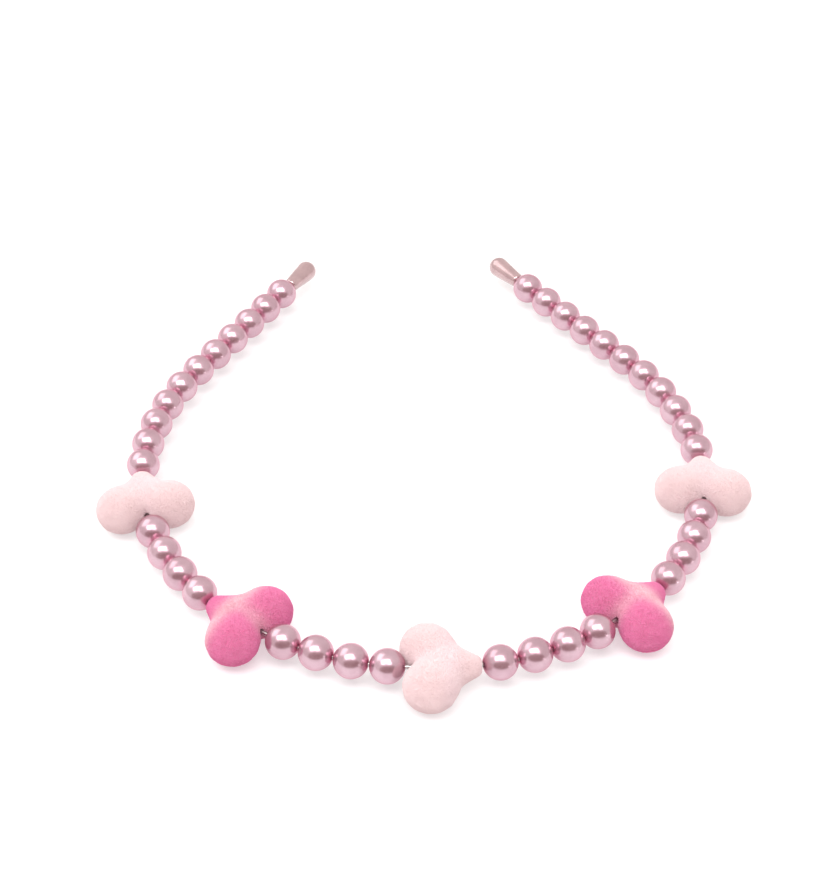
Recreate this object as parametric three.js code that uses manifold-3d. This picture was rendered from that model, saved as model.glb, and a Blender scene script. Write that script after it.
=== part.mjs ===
// A beaded headband lying flat: pearls and five heart beads strung on a springy steel wire that is
// bent to the plan of a head, with a drop-shaped tip over each end of the wire. Millimetres, +Z up,
// +Y towards the open ends, and the origin on the floor below the middle of the whole band.
import * as THREE from 'three';
import { mergeVertices } from 'three/addons/utils/BufferGeometryUtils.js';
import Module from 'manifold-3d';

const wasm = await Module();
wasm.setup();

// Wire. Its plan is one front arc, then a shoulder arc and a straight arm on each side
const wireDiameter = 1.0;
const frontRadius = 68.4;
const frontLength = 120; // of the wire, from the front centre to where a shoulder starts
const shoulderRadius = 77;
const shoulderLength = 30; // of the wire
const wireSides = 8;
const wireStep = 5.2;

// Pearls, counted from the front centre out
const pearlDiameter = 8;
const pearlClearance = 0.4; // round the wire in a pearl's bore
const beadGap = 0.05; // between neighbours on the wire
const pearlsBetweenHearts = 4;
const pearlsOnArm = 11;
const pearlSides = 12;
const pearlArcSteps = 6;

// Heart beads: two ball lobes, a core and a neck melted together, with a blunt point and a bore from
// the cleft to the point
const heartSpan = 16.7; // along the bore, between the bead at its cleft and the bead at its point
const heartWidth = 24;
const heartThickness = 11.4;
const heartClearance = 0.6; // round the wire, whose bend crosses a heart's straight bore
const lobeRadius = 6.3;
const cleftClearance = 0.4; // between a lobe and the bead that sits in the cleft
const coreRadius = 4.5;
const coreSetback = 7.5; // from the end of the span at the cleft to the core's centre
const neckRadius = 3.9;
const neckLength = 3.2; // from the neck's ball to the point's ball, between their centres
const pointRadius = 3.1;
const pointFlat = 0.8; // what the blunt end takes off the point's ball
const cleftBlend = 2.7; // how far the two lobes melt together
const coreBlend = 2.5; // how far the lobes melt into the core
const neckBlend = 3.9; // how far all of these melt into the neck
const pointBlend = 0.9; // how far the blunt end's rim is rounded
const heartSides = 24;
const heartRings = 13;
const boreSides = 12;

// Tips: drops glued over the wire's ends
const tipLength = 11.5;
const tipMouthDiameter = 3.8;
const tipEndDiameter = 5.6;
const tipClearance = 0.3; // round the wire in a tip's socket
const tipSocketDepth = 7;
const tipEndClearance = 0.3; // from the wire's end to the bottom of its socket
const tipSides = 12;
const tipArcSteps = 5;

const materials = {
  pearl: new THREE.MeshStandardMaterial({ color: 0xb9929f, roughness: 0.18, metalness: 0.35 }),
  palePink: new THREE.MeshStandardMaterial({ color: 0xf8d9da, roughness: 0.95, metalness: 0 }),
  hotPink: new THREE.MeshStandardMaterial({ color: 0xee7fb2, roughness: 0.95, metalness: 0 }),
  tip: new THREE.MeshStandardMaterial({ color: 0xcbaab0, roughness: 0.22, metalness: 0.2 }),
  steel: new THREE.MeshStandardMaterial({ color: 0xc4c3c1, roughness: 0.25, metalness: 1 }),
};

// A point of the wire's plan and its heading there, at a distance along it from the front centre,
// to the right positive. The left side mirrors the right one.
function planAt(along) {
  const side = Math.sign(along) || 1;
  let left = Math.abs(along);
  let heading = 0;
  const point = new THREE.Vector2();
  const legs = [
    { length: frontLength, radius: frontRadius },
    { length: shoulderLength, radius: shoulderRadius },
    { length: Infinity, radius: Infinity },
  ];
  for (const { length, radius } of legs) {
    const leg = Math.min(left, length);
    const turn = leg / radius;
    const chord = turn > 0 ? 2 * radius * Math.sin(turn / 2) : leg;
    point.x += chord * Math.cos(heading + turn / 2);
    point.y += chord * Math.sin(heading + turn / 2);
    heading += turn;
    left -= leg;
  }
  return { x: side * point.x, y: point.y, heading: side * heading };
}

class WirePath extends THREE.Curve {
  constructor(reach) {
    super();
    this.reach = reach;
  }

  getPoint(t, target = new THREE.Vector3()) {
    const { x, y } = planAt((2 * t - 1) * this.reach);
    return target.set(x, y, 0);
  }
}

function wireGeometry(reach) {
  const section = new THREE.Shape();
  for (let i = 0; i < wireSides; i++) {
    const angle = (2 * Math.PI * i) / wireSides;
    const corner = [(wireDiameter / 2) * Math.cos(angle), (wireDiameter / 2) * Math.sin(angle)];
    if (i === 0) section.moveTo(...corner);
    else section.lineTo(...corner);
  }
  section.closePath();
  const steps = Math.ceil((2 * reach) / wireStep);
  const extrudePath = new WirePath(reach);
  return new THREE.ExtrudeGeometry(section, { extrudePath, steps, bevelEnabled: false });
}

// A drilled ball, its bore along X
function pearlGeometry() {
  const radius = pearlDiameter / 2;
  const boreRadius = wireDiameter / 2 + pearlClearance;
  const rim = Math.asin(boreRadius / radius); // angle off the axis where the bore opens
  const profile = [];
  for (let i = 0; i <= pearlArcSteps; i++) {
    const angle = rim + ((Math.PI - 2 * rim) * i) / pearlArcSteps;
    profile.push(new THREE.Vector2(radius * Math.sin(angle), -radius * Math.cos(angle)));
  }
  profile.push(profile[0].clone());
  return new THREE.LatheGeometry(profile, pearlSides).rotateZ(-Math.PI / 2);
}

// A drop with a blind socket, its mouth at the origin and its round end along +X
function tipGeometry() {
  const endRadius = tipEndDiameter / 2;
  const mouthRadius = tipMouthDiameter / 2;
  const socketRadius = wireDiameter / 2 + tipClearance;
  const ballCentre = tipLength - endRadius;
  const lean = Math.asin((endRadius - mouthRadius) / ballCentre); // of the flank up to the round end
  const profile = [
    new THREE.Vector2(0, tipSocketDepth),
    new THREE.Vector2(socketRadius, tipSocketDepth),
    new THREE.Vector2(socketRadius, 0),
    new THREE.Vector2(mouthRadius, 0),
  ];
  for (let i = 0; i <= tipArcSteps; i++) {
    const angle = -lean + ((Math.PI / 2 + lean) * i) / tipArcSteps;
    const radius = i === tipArcSteps ? 0 : endRadius * Math.cos(angle);
    profile.push(new THREE.Vector2(radius, ballCentre + endRadius * Math.sin(angle)));
  }
  return new THREE.LatheGeometry(profile, tipSides).rotateZ(-Math.PI / 2);
}

// The union of two distances, melted together over a width
function blend(a, b, width) {
  const near = Math.max(width - Math.abs(a - b), 0) / width;
  return Math.min(a, b) - (near * near * width) / 4;
}

// Where a heart's balls lie: the lobes to both sides of the bore and clear of the bead in the
// cleft, the neck and the point on the bore
const lobeOffset = heartWidth / 2 - lobeRadius;
const lobeToBead = lobeRadius + cleftClearance + pearlDiameter / 2;
const lobeSetback = Math.sqrt(lobeToBead ** 2 - lobeOffset ** 2) - pearlDiameter / 2 - beadGap;
const pointSetback = heartSpan + pointFlat - pointRadius;
const neckSetback = pointSetback - neckLength;

// Distance out of a heart's skin: x along the bore from the end of the span at the cleft, y across
// the lobes, z up
function heartDistance({ x, y, z }) {
  const height = (z * 2 * lobeRadius) / heartThickness;
  const lobe = (side) => Math.hypot(x - lobeSetback, y - side * lobeOffset, height) - lobeRadius;
  const core = Math.hypot(x - coreSetback, y, height) - coreRadius;
  const along = THREE.MathUtils.clamp((x - neckSetback) / neckLength, 0, 1);
  const neck = Math.hypot(x - THREE.MathUtils.lerp(neckSetback, pointSetback, along), y, height)
    - THREE.MathUtils.lerp(neckRadius, pointRadius, along);
  const lobes = blend(blend(lobe(-1), lobe(1), cleftBlend), core, coreBlend);
  const pastEnd = x - heartSpan;
  return -blend(-blend(lobes, neck, neckBlend), -pastEnd, pointBlend);
}

// The skin's point in one direction from a point on the bore, found by closing in on it from outside
function skinPoint(from, direction) {
  const closing = 0.8; // share of the distance taken at each step
  const tolerance = 1e-5;
  let reach = heartWidth;
  const point = new THREE.Vector3();
  for (let gap = 1; Math.abs(gap) > tolerance; reach -= closing * gap) {
    point.copy(from).addScaledVector(direction, reach);
    gap = heartDistance(point);
  }
  return point;
}

// A heart's closed skin in rings round the bore, from the cleft to the point
function heartSkin() {
  const from = new THREE.Vector3((lobeSetback + neckSetback) / 2, 0, 0);
  const positions = [];
  const triangles = [];
  const direction = new THREE.Vector3();
  for (let ring = 1; ring < heartRings; ring++) {
    const polar = (Math.PI * ring) / heartRings;
    for (let i = 0; i < heartSides; i++) {
      const turn = (2 * Math.PI * i) / heartSides;
      const spread = Math.sin(polar);
      direction.set(-Math.cos(polar), spread * Math.cos(turn), spread * Math.sin(turn));
      positions.push(...skinPoint(from, direction));
    }
  }
  const cleft = positions.length / 3;
  positions.push(...skinPoint(from, direction.set(-1, 0, 0)));
  positions.push(...skinPoint(from, direction.set(1, 0, 0)));
  const last = (heartRings - 2) * heartSides;
  for (let i = 0; i < heartSides; i++) {
    const next = (i + 1) % heartSides;
    triangles.push(cleft, next, i, cleft + 1, last + i, last + next);
    for (let start = 0; start < last; start += heartSides) {
      const [a, b] = [start + i, start + next];
      triangles.push(a, b, b + heartSides, a, b + heartSides, a + heartSides);
    }
  }
  const geometry = new THREE.BufferGeometry();
  geometry.setAttribute('position', new THREE.Float32BufferAttribute(positions, 3));
  geometry.setIndex(triangles);
  return geometry;
}

function toSolid(geometry) {
  const bare = geometry.clone();
  bare.deleteAttribute('normal');
  bare.deleteAttribute('uv');
  const merged = mergeVertices(bare);
  const vertProperties = merged.attributes.position.array;
  const triVerts = Uint32Array.from(merged.index.array);
  return new wasm.Manifold(new wasm.Mesh({ numProp: 3, vertProperties, triVerts }));
}

function toGeometry(solid) {
  const mesh = solid.getMesh();
  const geometry = new THREE.BufferGeometry();
  geometry.setAttribute('position', new THREE.BufferAttribute(mesh.vertProperties, 3));
  geometry.setIndex(new THREE.BufferAttribute(mesh.triVerts, 1));
  geometry.computeVertexNormals();
  return geometry;
}

// A drilled heart, its middle at the origin and its point along +X
function heartGeometry() {
  const boreRadius = wireDiameter / 2 + heartClearance;
  const drillLength = 2 * (heartSpan + heartWidth); // from the origin it runs out of both ends
  const drill = new THREE.CylinderGeometry(boreRadius, boreRadius, drillLength, boreSides);
  const drilled = toSolid(heartSkin()).subtract(toSolid(drill.rotateZ(Math.PI / 2)));
  return toGeometry(drilled).translate(-heartSpan / 2, 0, 0);
}

const headband = new THREE.Group();
const wireHeight = heartThickness / 2; // the hearts carry the band
const shapes = { pearl: pearlGeometry(), heart: heartGeometry(), tip: tipGeometry() };

function addPiece(name, shape, material, place) {
  const mesh = new THREE.Mesh(shapes[shape].clone(), materials[material]);
  mesh.name = name;
  mesh.position.set(place.x, place.y, wireHeight);
  mesh.rotation.z = place.heading;
  headband.add(mesh);
}

// A heart's straight bore runs midway between the wire's bend and the chord under that bend
function addHeart(name, material, cleftAlong, pointAlong) {
  const cleft = planAt(cleftAlong);
  const point = planAt(pointAlong);
  const bend = planAt((cleftAlong + pointAlong) / 2);
  const chord = { x: (cleft.x + point.x) / 2, y: (cleft.y + point.y) / 2 };
  addPiece(name, 'heart', material, {
    x: (chord.x + bend.x) / 2,
    y: (chord.y + bend.y) / 2,
    heading: Math.atan2(point.y - cleft.y, point.x - cleft.x),
  });
}

// Strings one side from the centre heart out, and returns how far along the wire its tip starts
function stringSide(side, sideName) {
  let along = heartSpan / 2;
  let pearls = 0;
  const addPearls = (count) => {
    for (let i = 0; i < count; i++) {
      pearls += 1;
      const name = `pearl_${sideName}_${String(pearls).padStart(2, '0')}`;
      addPiece(name, 'pearl', 'pearl', planAt(side * (along + beadGap + pearlDiameter / 2)));
      along += beadGap + pearlDiameter;
    }
  };
  const addNextHeart = (name, material) => {
    along += beadGap;
    addHeart(name, material, side * along, side * (along + heartSpan));
    along += heartSpan;
  };
  addPearls(pearlsBetweenHearts);
  addNextHeart(`heart_${sideName}_front`, 'hotPink');
  addPearls(pearlsBetweenHearts);
  addNextHeart(`heart_${sideName}_side`, 'palePink');
  addPearls(pearlsOnArm);
  along += beadGap;
  const mouth = planAt(side * along);
  const outward = side > 0 ? mouth.heading : mouth.heading + Math.PI;
  addPiece(`tip_${sideName}`, 'tip', 'tip', { ...mouth, heading: outward });
  return along;
}

addHeart('heart_centre', 'palePink', -heartSpan / 2, heartSpan / 2);
const mouthReach = stringSide(1, 'right');
stringSide(-1, 'left');
shapes.wire = wireGeometry(mouthReach + tipSocketDepth - tipEndClearance);
addPiece('band_wire', 'wire', 'steel', { x: 0, y: 0, heading: 0 });

const box = new THREE.Box3().setFromObject(headband, true);
const middle = box.getCenter(new THREE.Vector3());
headband.position.set(-middle.x, -middle.y, -box.min.z);

export default headband;
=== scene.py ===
import math

import bpy
from mathutils import Matrix, Vector


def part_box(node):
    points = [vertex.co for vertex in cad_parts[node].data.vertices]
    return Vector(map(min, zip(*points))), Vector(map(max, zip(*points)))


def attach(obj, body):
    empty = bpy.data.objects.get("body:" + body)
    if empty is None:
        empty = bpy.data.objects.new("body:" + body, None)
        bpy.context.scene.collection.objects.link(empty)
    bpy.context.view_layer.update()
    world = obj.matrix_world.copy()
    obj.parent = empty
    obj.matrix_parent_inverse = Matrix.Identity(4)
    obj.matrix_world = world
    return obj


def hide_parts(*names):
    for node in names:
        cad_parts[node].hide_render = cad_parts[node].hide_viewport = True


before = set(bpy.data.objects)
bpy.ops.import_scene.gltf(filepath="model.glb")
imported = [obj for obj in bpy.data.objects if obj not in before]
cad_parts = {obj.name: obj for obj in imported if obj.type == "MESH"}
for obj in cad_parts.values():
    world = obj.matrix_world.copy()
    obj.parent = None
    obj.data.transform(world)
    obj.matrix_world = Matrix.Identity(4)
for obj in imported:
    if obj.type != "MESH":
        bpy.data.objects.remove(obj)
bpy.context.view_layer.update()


# Picking and shaping

def deselectAll():
    if bpy.context.object and bpy.context.object.mode != "OBJECT":
        bpy.ops.object.mode_set(mode="OBJECT")
    bpy.ops.object.select_all(action="DESELECT")


def makeActive(piece):
    deselectAll()
    piece.select_set(True)
    bpy.context.view_layer.objects.active = piece


def pick(piece, kind, wanted):  # kind is vertices, edges or polygons; the piece stays in edit mode
    makeActive(piece)
    mesh = piece.data
    for parts in (mesh.vertices, mesh.edges, mesh.polygons):
        parts.foreach_set("select", [False] * len(parts))
    for part in getattr(mesh, kind):
        part.select = wanted(part)
    modes = [kind == each for each in ("vertices", "edges", "polygons")]
    bpy.context.tool_settings.mesh_select_mode = modes
    bpy.ops.object.mode_set(mode="EDIT")


def leaveEdit():
    bpy.ops.object.mode_set(mode="OBJECT")


def applyModifier(piece, name, kind, **settings):
    makeActive(piece)
    modifier = piece.modifiers.new(name, kind)
    for key, value in settings.items():
        setattr(modifier, key, value)
    bpy.ops.object.modifier_apply(modifier=modifier.name)


def smooth(piece, rounds):
    applyModifier(piece, "smooth", "SMOOTH", factor=0.5, iterations=rounds)


def joinPieces(pieces):
    makeActive(pieces[0])
    for piece in pieces[1:]:
        piece.select_set(True)
    bpy.ops.object.join()
    return bpy.context.object


def settle(piece):  # puts the place, turn and scale of a piece into its mesh
    makeActive(piece)
    bpy.ops.object.transform_apply(location=True, rotation=True, scale=True)


# Where the beads lie along the wire, read from the frame

beadLayout = {
    "pearlsOnSide": 19,
    "pearlsBetweenHearts": 4,
    "tipGap": 0.00005,  # between the last pearl and the tip
}


def nodeCentre(name):
    low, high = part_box(name)
    return (low + high) / 2


def sideOrder(side):
    count = beadLayout["pearlsOnSide"]
    pearls = [f"pearl_{side}_{number:02d}" for number in range(1, count + 1)]
    first = beadLayout["pearlsBetweenHearts"]
    second = 2 * first
    return [*pearls[:first], f"heart_{side}_front", *pearls[first:second],
            f"heart_{side}_side", *pearls[second:], f"tip_{side}"]


beadOrder = [*reversed(sideOrder("left")), "heart_centre", *sideOrder("right")]
centres = {name: nodeCentre(name) for name in beadOrder}


def neighbours(name):
    spot = beadOrder.index(name)
    return centres[beadOrder[spot - 1]], centres[beadOrder[spot + 1]]


def wireDirection(name):  # along the circle through a bead and both its neighbours
    before, after = neighbours(name)
    back, ahead = centres[name] - before, after - centres[name]
    return (back / back.length_squared + ahead / ahead.length_squared).normalized()


def turnTo(direction):
    return Matrix.Rotation(math.atan2(direction.y, direction.x), 4, "Z")


def placeCopy(model, name, placing):
    piece = model.copy()
    piece.data = model.data.copy()
    piece.name = name
    piece.data.name = name
    bpy.context.scene.collection.objects.link(piece)
    piece.data.transform(placing)
    return piece


def hand(piece, node, material):  # rides, replaces its node and gets its finish
    piece.data.materials.clear()
    piece.data.materials.append(material)
    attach(piece, "root")
    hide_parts(node)


# Finishes

clouding = {
    "cloudDetail": 2.0,
    "grainDetail": 3.0,
    "tintSpan": (0.35, 0.65),  # of the cloud, from the deep tint to the light one
}


def newMaterial(name):
    material = bpy.data.materials.new(name)
    material.use_nodes = True
    tree = material.node_tree
    return material, tree, tree.nodes["Principled BSDF"]


def addNode(tree, kind, **values):
    node = tree.nodes.new(kind)
    for key, value in values.items():
        if key in node.inputs:
            node.inputs[key].default_value = value
        else:
            setattr(node, key, value)
    return node


def makeDriftGroup():  # soft clouding over a finish, and a fine grain
    group = bpy.data.node_groups.new("coatDrift", "ShaderNodeTree")
    for name in ("Cloud", "Grain"):
        group.interface.new_socket(name + " Scale", in_out="INPUT", socket_type="NodeSocketFloat")
        group.interface.new_socket(name, in_out="OUTPUT", socket_type="NodeSocketFloat")
    outer = group.nodes.new("NodeGroupInput")
    result = group.nodes.new("NodeGroupOutput")
    spot = group.nodes.new("ShaderNodeTexCoord")
    for name in ("Cloud", "Grain"):
        detail = clouding[name.lower() + "Detail"]
        noise = addNode(group, "ShaderNodeTexNoise", Detail=detail)
        group.links.new(spot.outputs["Object"], noise.inputs["Vector"])
        group.links.new(outer.outputs[name + " Scale"], noise.inputs["Scale"])
        group.links.new(noise.outputs["Fac"], result.inputs[name])
    return group


driftGroup = makeDriftGroup()


def addDrift(tree, cloudScale, grainScale):
    drift = tree.nodes.new("ShaderNodeGroup")
    drift.node_tree = driftGroup
    drift.inputs["Cloud Scale"].default_value = cloudScale
    drift.inputs["Grain Scale"].default_value = grainScale
    return drift


def addRamp(tree, source, span, colours):  # from one colour to another over a span of the source
    ramp = tree.nodes.new("ShaderNodeValToRGB")
    for element, place, colour in zip(ramp.color_ramp.elements, span, colours):
        element.position = place
        element.color = (*colour, 1)
    tree.links.new(source, ramp.inputs["Fac"])
    return ramp.outputs["Color"]


def addCloudTint(tree, source, finish):
    tints = (finish["deepTint"], finish["lightTint"])
    return addRamp(tree, source, clouding["tintSpan"], tints)


def layOver(tree, share, base, colour):  # lays a colour over another by a share
    mix = addNode(tree, "ShaderNodeMix", data_type="RGBA")
    sockets = {socket.identifier: socket for socket in [*mix.inputs, *mix.outputs]}
    tree.links.new(share, sockets["Factor_Float"])
    tree.links.new(base, sockets["A_Color"])
    sockets["B_Color"].default_value = (*colour, 1)
    return sockets["Result_Color"]


def addBump(tree, source, shader, height):
    bump = addNode(tree, "ShaderNodeBump", Distance=height, Strength=1.0)
    tree.links.new(source, bump.inputs["Height"])
    tree.links.new(bump.outputs["Normal"], shader.inputs["Normal"])


# Pearls

pearl = {
    "bore": 0.0013,
    "rimRound": 0.00012,
    "rimSteps": 3,
    "rimReach": 1.1,  # of the bore's radius: takes in the hole's own edge and nothing further out
    "mouthLevel": 0.000001,  # the ends of an edge of the mouth are as level as this
    "segments": 56,
    "rings": 28,
    "deepTint": (0.55, 0.365, 0.43),
    "lightTint": (0.63, 0.445, 0.515),
    "paintedReflectionTint": (0.64, 0.29, 0.40),  # painted reflection: redder towards the holes, where neighbouring pearls reflect into each other
    "paintedReflectionTintFrom": 0.76,  # share of the radius along the bore where the painted reflection begins
    "edgeTint": (0.85, 0.38, 0.50, 1),
    "metallic": 0.8,
    "roughness": 0.26,
    "coat": 0.7,
    "coatRoughness": 0.09,
    "cloudScale": 260,
    "grainScale": 2600,
    "grainHeight": 0.000004,
}


def makePearlCoat():
    material, tree, shader = newMaterial("mauvePearlCoat")
    drift = addDrift(tree, pearl["cloudScale"], pearl["grainScale"])
    tint = addCloudTint(tree, drift.outputs["Cloud"], pearl)
    # painted reflection: the coat is laid redder towards the holes, where neighbouring pearls
    # reflect into each other
    reflectionShare = addNode(tree, "ShaderNodeAttribute", attribute_name="boreBlush")
    colour = layOver(tree, reflectionShare.outputs["Fac"], tint, pearl["paintedReflectionTint"])
    tree.links.new(colour, shader.inputs["Base Color"])
    addBump(tree, drift.outputs["Grain"], shader, pearl["grainHeight"])
    shader.inputs["Metallic"].default_value = pearl["metallic"]
    shader.inputs["Roughness"].default_value = pearl["roughness"]
    shader.inputs["Specular Tint"].default_value = pearl["edgeTint"]
    shader.inputs["Coat Weight"].default_value = pearl["coat"]
    shader.inputs["Coat Roughness"].default_value = pearl["coatRoughness"]
    return material


def modelPearl(diameter):  # a drilled ball with its bore along X
    deselectAll()
    bpy.ops.mesh.primitive_uv_sphere_add(
        segments=pearl["segments"], ring_count=pearl["rings"], radius=diameter / 2,
        rotation=(0, math.pi / 2, 0))
    ball = bpy.context.object
    settle(ball)
    boreRadius = pearl["bore"] / 2
    pick(ball, "polygons", lambda face: math.hypot(face.center.y, face.center.z) < boreRadius)
    bpy.ops.mesh.delete(type="FACE")
    leaveEdit()
    reach = pearl["rimReach"] * boreRadius

    def onRim(edge):
        ends = [ball.data.vertices[i].co for i in edge.vertices]
        return all(math.hypot(end.y, end.z) < reach for end in ends)

    pick(ball, "edges", onRim)
    bpy.ops.mesh.bridge_edge_loops()
    leaveEdit()

    def isMouth(edge):
        ends = [ball.data.vertices[i].co for i in edge.vertices]
        return onRim(edge) and abs(ends[0].x - ends[1].x) < pearl["mouthLevel"]

    pick(ball, "edges", isMouth)
    bpy.ops.mesh.bevel(offset=pearl["rimRound"], segments=pearl["rimSteps"], affect="EDGES")
    bpy.ops.mesh.select_all(action="SELECT")
    bpy.ops.mesh.normals_make_consistent(inside=False)
    leaveEdit()
    bpy.ops.object.shade_smooth()

    # painted reflection: the share of the redder colour, growing towards the holes
    reflectionShare = ball.data.attributes.new("boreBlush", "FLOAT", "POINT")
    for vertex, mark in zip(ball.data.vertices, reflectionShare.data):
        along = abs(vertex.co.x) / (diameter / 2)
        share = (along - pearl["paintedReflectionTintFrom"]) / (1 - pearl["paintedReflectionTintFrom"])
        mark.value = min(max(share, 0), 1)
    return ball


pearlNodes = [name for name in beadOrder if name.startswith("pearl")]
low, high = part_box(pearlNodes[0])
pearlDiameter = high.z - low.z
pearlCoat = makePearlCoat()
pearlModel = modelPearl(pearlDiameter)
for node in pearlNodes:
    placing = Matrix.Translation(centres[node]) @ turnTo(wireDirection(node))
    piece = placeCopy(pearlModel, node.replace("pearl", "mauve_pearl"), placing)
    hand(piece, node, pearlCoat)
bpy.data.objects.remove(pearlModel)
print("pearls strung:", len(pearlNodes))


# Flocked hearts

heart = {
    "lobeRadius": 0.0063,
    "lobePlace": -0.00341,  # of the lobes' centres from the middle of the bead, along the bore
    "lobeOffset": 0.0057,
    "coreRadius": 0.0045,
    "corePlace": -0.00085,
    "neckRadius": 0.0039,
    "neckPlace": 0.00285,
    "pointRadius": 0.0031,
    "pointPlace": 0.00605,
    "bluntPlace": 0.0083,  # where the point is cut flat
    "ballSegments": 40,
    "ballRings": 24,
    "bore": 0.0017,
    "boreSides": 32,
    "drillLength": 0.04,
    "roughVoxel": 0.0004,
    "easing": 6,  # rounds of smoothing, here and in the next two
    "relaxing": 22,
    "softening": 20,
    "skinVoxel": 0.0002,
    "leastFace": 0.4,  # of a voxel's side squared: smaller faces get no fibre
    "fibreInset": 0.00012,  # the skin under the pile
    "fibreLength": 0.00016,
    "fibreStray": 0.0001,
    "straySeed": 4,
    "boreMargin": 0.0005,  # round the bore, where the skin isn't drawn onto the solid
    "palePlace": 0.0014,  # where the flock is paler, in a band across the waist: painted sheen, partly worn flock
    "paleBand": 0.0026,
    "paleSeam": 0.0020,  # and between the lobes, the same painted sheen and wear
    "seamFade": 0.6,
}
pinkFlock = {
    "name": "hotPinkFlock",
    "deep": (0.75, 0.44, 0.52),
    "pale": (0.84, 0.56, 0.62),
    "dye": (0.735, 0.18, 0.405),
    "dyeShare": 0.86,
    "sheen": 1.0,
    "sheenTint": (1.0, 0.86, 0.93, 1),
}
paleFlock = {
    "name": "palePinkFlock",
    "deep": (0.82, 0.69, 0.71),
    "pale": (0.84, 0.715, 0.735),
    "dye": (0.84, 0.69, 0.69),
    "dyeShare": 0.5,
    "sheen": 0.25,
    "sheenTint": (1.0, 0.94, 0.94, 1),
}
flockPile = {
    "speckleScale": 1800,
    "speckleShare": 0.5,
    "patchScale": 160,
    "tintSpan": (0.38, 0.62),
    "specular": 0.2,
    "roughness": 0.95,
    "sheenRoughness": 0.32,
    "grainHeight": 0.000012,
}


def makeFlock(flock):
    material, tree, shader = newMaterial(flock["name"])
    drift = addDrift(tree, flockPile["patchScale"], flockPile["speckleScale"])
    speckle = addNode(tree, "ShaderNodeMix", Factor=flockPile["speckleShare"])
    tree.links.new(drift.outputs["Cloud"], speckle.inputs["A"])
    tree.links.new(drift.outputs["Grain"], speckle.inputs["B"])
    tints = (flock["deep"], flock["pale"])
    tint = addRamp(tree, speckle.outputs["Result"], flockPile["tintSpan"], tints)
    # the dye fades at the waist and between the lobes into a paler painted sheen, partly worn
    # flock
    dye = addNode(tree, "ShaderNodeAttribute", attribute_name="lobeDye")
    share = addNode(tree, "ShaderNodeMath", operation="MULTIPLY")
    share.inputs[1].default_value = flock["dyeShare"]
    tree.links.new(dye.outputs["Fac"], share.inputs[0])
    colour = layOver(tree, share.outputs["Value"], tint, flock["dye"])
    tree.links.new(colour, shader.inputs["Base Color"])
    addBump(tree, drift.outputs["Grain"], shader, flockPile["grainHeight"])
    shader.inputs["Roughness"].default_value = flockPile["roughness"]
    shader.inputs["Specular IOR Level"].default_value = flockPile["specular"]
    shader.inputs["Sheen Weight"].default_value = flock["sheen"]
    shader.inputs["Sheen Roughness"].default_value = flockPile["sheenRoughness"]
    shader.inputs["Sheen Tint"].default_value = flock["sheenTint"]
    return material


def heartPlace(node):  # midway between its neighbours, carried out to the heart's own axis
    before, after = neighbours(node)
    if node.startswith("heart_left"):
        before, after = after, before
    along = (after - before).normalized()
    across = Vector((-along.y, along.x, 0))
    corners = [vertex.co.dot(across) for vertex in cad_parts[node].data.vertices]
    middle = (before + after) / 2
    shift = (min(corners) + max(corners)) / 2 - middle.dot(across)
    return middle + across * shift, along


def addBall(place, radius, flatness):
    deselectAll()
    bpy.ops.mesh.primitive_uv_sphere_add(
        segments=heart["ballSegments"], ring_count=heart["ballRings"], radius=radius,
        location=place)
    ball = bpy.context.object
    ball.scale.z = flatness
    settle(ball)
    return ball


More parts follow.
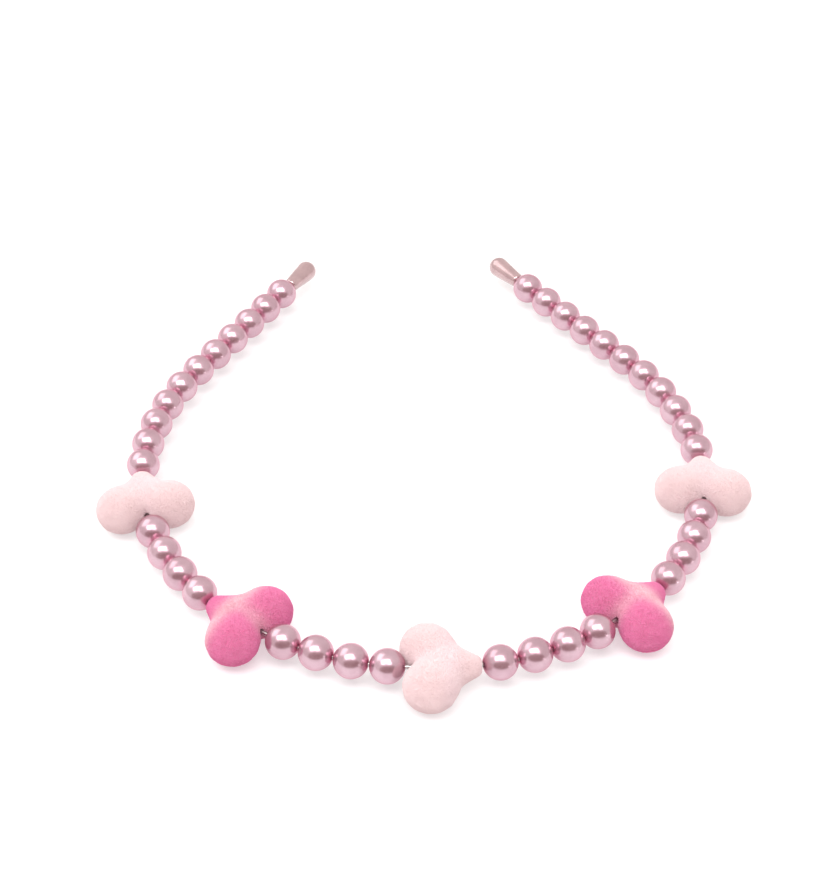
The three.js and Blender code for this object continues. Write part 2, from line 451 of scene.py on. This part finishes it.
def modelHeart(node):
    place = heartPlace(node)[0]
    low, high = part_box(node)
    flatness = (high.z - low.z) / (2 * heart["lobeRadius"])
    middle = Vector((place.x, place.y, (low.z + high.z) / 2))

    # two lobes, a core, a neck and a blunt point, melted into one skin
    balls = []
    for side in (-1, 1):
        offset = Vector((heart["lobePlace"], side * heart["lobeOffset"], 0))
        balls.append(addBall(middle + offset, heart["lobeRadius"], flatness))
    for part in ("core", "neck", "point"):
        offset = Vector((heart[part + "Place"], 0, 0))
        balls.append(addBall(middle + offset, heart[part + "Radius"], flatness))
    body = joinPieces(balls)
    pick(body, "polygons", lambda face: True)
    bpy.ops.mesh.bisect(plane_co=middle + Vector((heart["bluntPlace"], 0, 0)), plane_no=(1, 0, 0),
                        clear_outer=True, use_fill=True)
    leaveEdit()
    applyModifier(body, "melt", "REMESH", mode="VOXEL", voxel_size=heart["roughVoxel"])
    smooth(body, heart["easing"])

    # drawn onto the solid, apart from the skin over the bore's mouths
    clear = heart["bore"] / 2 + heart["boreMargin"]
    fromBore = [math.hypot(v.co.y - middle.y, v.co.z - middle.z) for v in body.data.vertices]
    outer = body.vertex_groups.new(name="outerSkin")
    outer.add([i for i, far in enumerate(fromBore) if far > clear], 1.0, "REPLACE")
    applyModifier(body, "draw", "SHRINKWRAP", target=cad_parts[node],
                  vertex_group="outerSkin", wrap_method="NEAREST_SURFACEPOINT",
                  wrap_mode="ON_SURFACE")
    smooth(body, heart["relaxing"])

    # drilled from the cleft to the point
    deselectAll()
    bpy.ops.mesh.primitive_cylinder_add(
        vertices=heart["boreSides"], radius=heart["bore"] / 2, depth=heart["drillLength"],
        location=middle, rotation=(0, math.pi / 2, 0))
    drill = bpy.context.object
    applyModifier(body, "bore", "BOOLEAN", operation="DIFFERENCE", solver="EXACT", object=drill)
    bpy.data.objects.remove(drill)
    applyModifier(body, "skin", "REMESH", mode="VOXEL", voxel_size=heart["skinVoxel"])
    smooth(body, heart["softening"])

    # the pile: every face outside the bore is drawn up to a short fibre that strays a little
    skinCount = len(body.data.vertices)
    boreReach = heart["bore"] / 2 + heart["fibreLength"]
    leastFace = heart["leastFace"] * heart["skinVoxel"] ** 2

    def isOutside(face):
        far = math.hypot(face.center.y - middle.y, face.center.z - middle.z)
        return far > boreReach and face.area > leastFace

    pick(body, "polygons", isOutside)
    bpy.ops.transform.shrink_fatten(value=-heart["fibreInset"])
    bpy.ops.mesh.poke(offset=heart["fibreLength"], use_relative_offset=False)
    leaveEdit()
    pick(body, "vertices", lambda vertex: vertex.index >= skinCount)
    bpy.ops.transform.vertex_random(
        offset=heart["fibreStray"], uniform=1.0, normal=0.0, seed=heart["straySeed"])
    leaveEdit()
    body.vertex_groups.clear()
    bpy.ops.object.shade_flat()

    # the dye is full on the lobes and the point, and fades at the waist and between the lobes,
    # where the paler colour is painted sheen and partly worn flock
    dye = body.data.attributes.new("lobeDye", "FLOAT", "POINT")
    for vertex, mark in zip(body.data.vertices, dye.data):
        spot = vertex.co - middle
        waist = math.exp(-((spot.x - heart["palePlace"]) / heart["paleBand"]) ** 2)
        seam = math.exp(-(spot.y / heart["paleSeam"]) ** 2) if spot.x < heart["palePlace"] else 0
        mark.value = (1 - waist) * (1 - heart["seamFade"] * seam)
    return body, middle


pinkMaterial = makeFlock(pinkFlock)
paleMaterial = makeFlock(paleFlock)
heartModel, modelMiddle = modelHeart("heart_centre")
heartNodes = [name for name in beadOrder if name.startswith("heart")]
for node in heartNodes:
    place, along = heartPlace(node)
    place.z = modelMiddle.z
    placing = Matrix.Translation(place) @ turnTo(along) @ Matrix.Translation(-modelMiddle)
    piece = placeCopy(heartModel, node.replace("heart", "flocked_heart"), placing)
    if node.endswith("front"):
        hand(piece, node, pinkMaterial)
    else:
        hand(piece, node, paleMaterial)
print("hearts flocked:", len(heartNodes), "faces each:", len(heartModel.data.polygons))
bpy.data.objects.remove(heartModel)


# Tips

tip = {
    "length": 0.0115,
    "mouthDiameter": 0.0038,
    "endDiameter": 0.0056,
    "socketDiameter": 0.0016,
    "socketDepth": 0.007,
    "lipRound": 0.00025,
    "sides": 40,
    "flankBands": (0.33, 0.67),  # shares of the flank, which keep it straight
    "endSteps": 9,
    "deepTint": (0.47, 0.33, 0.34),
    "lightTint": (0.56, 0.40, 0.41),
    "metallic": 0.6,
    "roughness": 0.2,
    "coat": 0.8,
    "coatRoughness": 0.06,
    "cloudScale": 300,
    "grainScale": 2200,
    "grainHeight": 0.000004,
}


def makeTipCoat():
    material, tree, shader = newMaterial("pearlyTipCoat")
    drift = addDrift(tree, tip["cloudScale"], tip["grainScale"])
    tint = addCloudTint(tree, drift.outputs["Cloud"], tip)
    tree.links.new(tint, shader.inputs["Base Color"])
    addBump(tree, drift.outputs["Grain"], shader, tip["grainHeight"])
    shader.inputs["Metallic"].default_value = tip["metallic"]
    shader.inputs["Roughness"].default_value = tip["roughness"]
    shader.inputs["Coat Weight"].default_value = tip["coat"]
    shader.inputs["Coat Roughness"].default_value = tip["coatRoughness"]
    return material


def modelTip():  # a drop with its mouth at the origin and its round end along +X
    deselectAll()
    mouth, end = tip["mouthDiameter"] / 2, tip["endDiameter"] / 2
    socket, rounding = tip["socketDiameter"] / 2, tip["lipRound"]
    bpy.ops.mesh.primitive_circle_add(vertices=tip["sides"], radius=socket, fill_type="NGON")
    drop = bpy.context.object
    bpy.ops.object.mode_set(mode="EDIT")
    bpy.ops.mesh.select_all(action="SELECT")

    # radius and height of each ring: out of the socket, over the lip, up the flank, round the end
    rings = [(socket, tip["socketDepth"]), (socket, rounding), (socket + rounding, 0),
             (mouth - rounding, 0), (mouth, rounding)]
    centre = tip["length"] - end
    lean = math.asin((end - mouth) / centre)
    flank = (end * math.cos(lean) - mouth, centre - end * math.sin(lean) - rounding)
    for share in tip["flankBands"]:
        rings.append((mouth + flank[0] * share, rounding + flank[1] * share))
    for step in range(tip["endSteps"]):
        angle = -lean + (math.pi / 2 + lean) * step / tip["endSteps"]
        rings.append((end * math.cos(angle), centre + end * math.sin(angle)))

    bpy.ops.transform.translate(value=(0, 0, tip["socketDepth"]))
    for (radius, height), (nextRadius, nextHeight) in zip(rings, rings[1:]):
        rise = (0, 0, nextHeight - height)
        bpy.ops.mesh.extrude_region_move(TRANSFORM_OT_translate={"value": rise})
        bpy.ops.transform.resize(value=(nextRadius / radius, nextRadius / radius, 1))
    rise = (0, 0, tip["length"] - rings[-1][1])
    bpy.ops.mesh.extrude_region_move(TRANSFORM_OT_translate={"value": rise})
    bpy.ops.mesh.merge(type="CENTER")
    bpy.ops.mesh.select_all(action="SELECT")
    bpy.ops.mesh.normals_make_consistent(inside=False)
    leaveEdit()
    drop.rotation_euler = (0, math.pi / 2, 0)
    settle(drop)
    applyModifier(drop, "fine", "SUBSURF", levels=1, render_levels=1)
    bpy.ops.object.shade_smooth()
    return drop


tipCoat = makeTipCoat()
tipModel = modelTip()
for side in ("left", "right"):
    lastPearl = f"pearl_{side}_{beadLayout['pearlsOnSide']}"
    outward = wireDirection(lastPearl) * (1 if side == "right" else -1)
    mouthPlace = centres[lastPearl] + outward * (pearlDiameter / 2 + beadLayout["tipGap"])
    placing = Matrix.Translation(mouthPlace) @ turnTo(outward)
    piece = placeCopy(tipModel, f"drop_tip_{side}", placing)
    hand(piece, f"tip_{side}", tipCoat)
bpy.data.objects.remove(tipModel)
print("tips capped")


# Wire

wire = {
    "diameter": 0.001,
    "endReach": 0.01075,  # from the last pearl's middle to the wire's end in the tip
    "stepsBetweenBeads": 6,
    "roundingSteps": 3,
    "tint": (0.62, 0.61, 0.60),
    "smoothest": 0.22,
    "roughest": 0.352,
    "roughSpan": (0.3, 0.7),
    "cloudScale": 900,
    "grainScale": 5200,
    "grainHeight": 0.000003,
}


def makeSteel():
    material, tree, shader = newMaterial("drawnSteel")
    drift = addDrift(tree, wire["cloudScale"], wire["grainScale"])
    greys = [(wire[end],) * 3 for end in ("smoothest", "roughest")]
    rough = addRamp(tree, drift.outputs["Cloud"], wire["roughSpan"], greys)
    tree.links.new(rough, shader.inputs["Roughness"])
    addBump(tree, drift.outputs["Grain"], shader, wire["grainHeight"])
    shader.inputs["Base Color"].default_value = (*wire["tint"], 1)
    shader.inputs["Metallic"].default_value = 1.0
    return material


def bendWire():
    first, last = pearlNodes[0], pearlNodes[-1]
    route = [centres[first] - wireDirection(first) * wire["endReach"]]
    route += [centres[name] for name in pearlNodes]
    route += [centres[last] + wireDirection(last) * wire["endReach"]]
    deselectAll()
    bpy.ops.curve.primitive_bezier_curve_add()
    bend = bpy.context.object
    spline = bend.data.splines[0]
    spline.bezier_points.add(len(route) - len(spline.bezier_points))
    for point, place in zip(spline.bezier_points, route):
        point.co = place
        point.handle_left_type = point.handle_right_type = "AUTO"
    bend.data.dimensions = "3D"
    bend.data.resolution_u = wire["stepsBetweenBeads"]
    bend.data.bevel_depth = wire["diameter"] / 2
    bend.data.bevel_resolution = wire["roundingSteps"]
    bend.data.use_fill_caps = True
    makeActive(bend)
    bpy.ops.object.convert(target="MESH")
    bpy.ops.object.shade_smooth()
    return bpy.context.object


wirePiece = bendWire()
wirePiece.name = "springy_wire"
hand(wirePiece, "band_wire", makeSteel())
print("wire bent")


# Floor, light and camera

studio = {
    "floorWidth": 12,
    "floorRoughness": 0.5,
    "floorTint": (0.60, 0.605, 0.61),
    "floorGlow": 0.45,  # keeps the shadows faint
    "wall": (0.92, 0.85, 0.82),
    "room": (0.33, 0.18, 0.17),
    "roomPlace": (0.02, -0.93, 0.37),
    "roomNarrowing": 0.42,  # of left and right, which widens the dark part of the room
    "roomEdge": (0.85, 0.91),  # from where the wall darkens to where the room is darkest
    "lights": [  # place, width, height, power
        ((-0.28, -0.46, 1.40), 1.45, 0.68, 14.5),  # the main softbox
        ((0.36, -0.74, 1.30), 0.62, 0.36, 1.9),  # a smaller one beside it
        ((-0.91, 0.61, 1.02), 1.20, 0.90, 4.6),  # a dim one behind, on the left
        ((1.55, -1.26, 0.10), 0.10, 0.07, 0.5),  # lamps far off in the room
        ((1.42, -1.44, 0.26), 0.07, 0.07, 0.35),
    ],
}
view = {
    "place": (-0.02912, -0.34860, 0.29721),
    "aim": (-0.00146, 0.00481, 0.00570),
    "roll": 1.31,  # degrees
    "lens": 75.08,
    "nearest": 0.01,
}


def layFloor():
    deselectAll()
    bpy.ops.mesh.primitive_plane_add(size=studio["floorWidth"])
    floor = bpy.context.object
    floor.name = "studio_floor"
    material, _, shader = newMaterial("paleFloor")
    shader.inputs["Base Color"].default_value = (*studio["floorTint"], 1)
    shader.inputs["Roughness"].default_value = studio["floorRoughness"]
    shader.inputs["Emission Color"].default_value = (1, 1, 1, 1)
    shader.inputs["Emission Strength"].default_value = studio["floorGlow"]
    floor.data.materials.append(material)


def aimAt(thing, place, target, roll):
    thing.location = place
    toward = (Vector(target) - Vector(place)).to_track_quat("-Z", "Y").to_matrix().to_4x4()
    thing.rotation_euler = (toward @ Matrix.Rotation(math.radians(roll), 4, "Z")).to_euler()


def hangLights():
    for place, width, height, power in studio["lights"]:
        deselectAll()
        bpy.ops.object.light_add(type="AREA")
        light = bpy.context.object
        light.data.shape = "RECTANGLE"
        light.data.size, light.data.size_y = width, height
        light.data.energy = power
        isInFront = place[1] < 0
        across = math.degrees(math.atan2(place[0], -place[1])) if isInFront else 0
        aimAt(light, place, (0, 0, 0), -across)  # a light in front has its width along X


def paintRoom():  # a pale studio, dark low down in front of the band
    world = bpy.data.worlds.new("studioRoom")
    bpy.context.scene.world = world
    world.use_nodes = True
    tree = world.node_tree
    spot = tree.nodes.new("ShaderNodeTexCoord")
    side = addNode(tree, "ShaderNodeVectorMath", operation="DOT_PRODUCT")
    side.inputs[1].default_value = Vector(studio["roomPlace"]).normalized()
    narrow = addNode(tree, "ShaderNodeVectorMath", operation="MULTIPLY")
    narrow.inputs[1].default_value = (studio["roomNarrowing"], 1, 1)
    even = addNode(tree, "ShaderNodeVectorMath", operation="NORMALIZE")
    tree.links.new(spot.outputs["Generated"], narrow.inputs[0])
    tree.links.new(narrow.outputs["Vector"], even.inputs[0])
    tree.links.new(even.outputs["Vector"], side.inputs[0])
    tones = (studio["wall"], studio["room"])
    tone = addRamp(tree, side.outputs["Value"], studio["roomEdge"], tones)
    tree.links.new(tone, tree.nodes["Background"].inputs["Color"])


def standCamera():
    deselectAll()
    bpy.ops.object.camera_add()
    camera = bpy.context.object
    camera.data.lens = view["lens"]
    camera.data.clip_start = view["nearest"]
    aimAt(camera, view["place"], view["aim"], view["roll"])
    bpy.context.scene.camera = camera


layFloor()
hangLights()
paintRoom()
standCamera()
bpy.context.scene.view_settings.view_transform = "Standard"
print("studio ready")
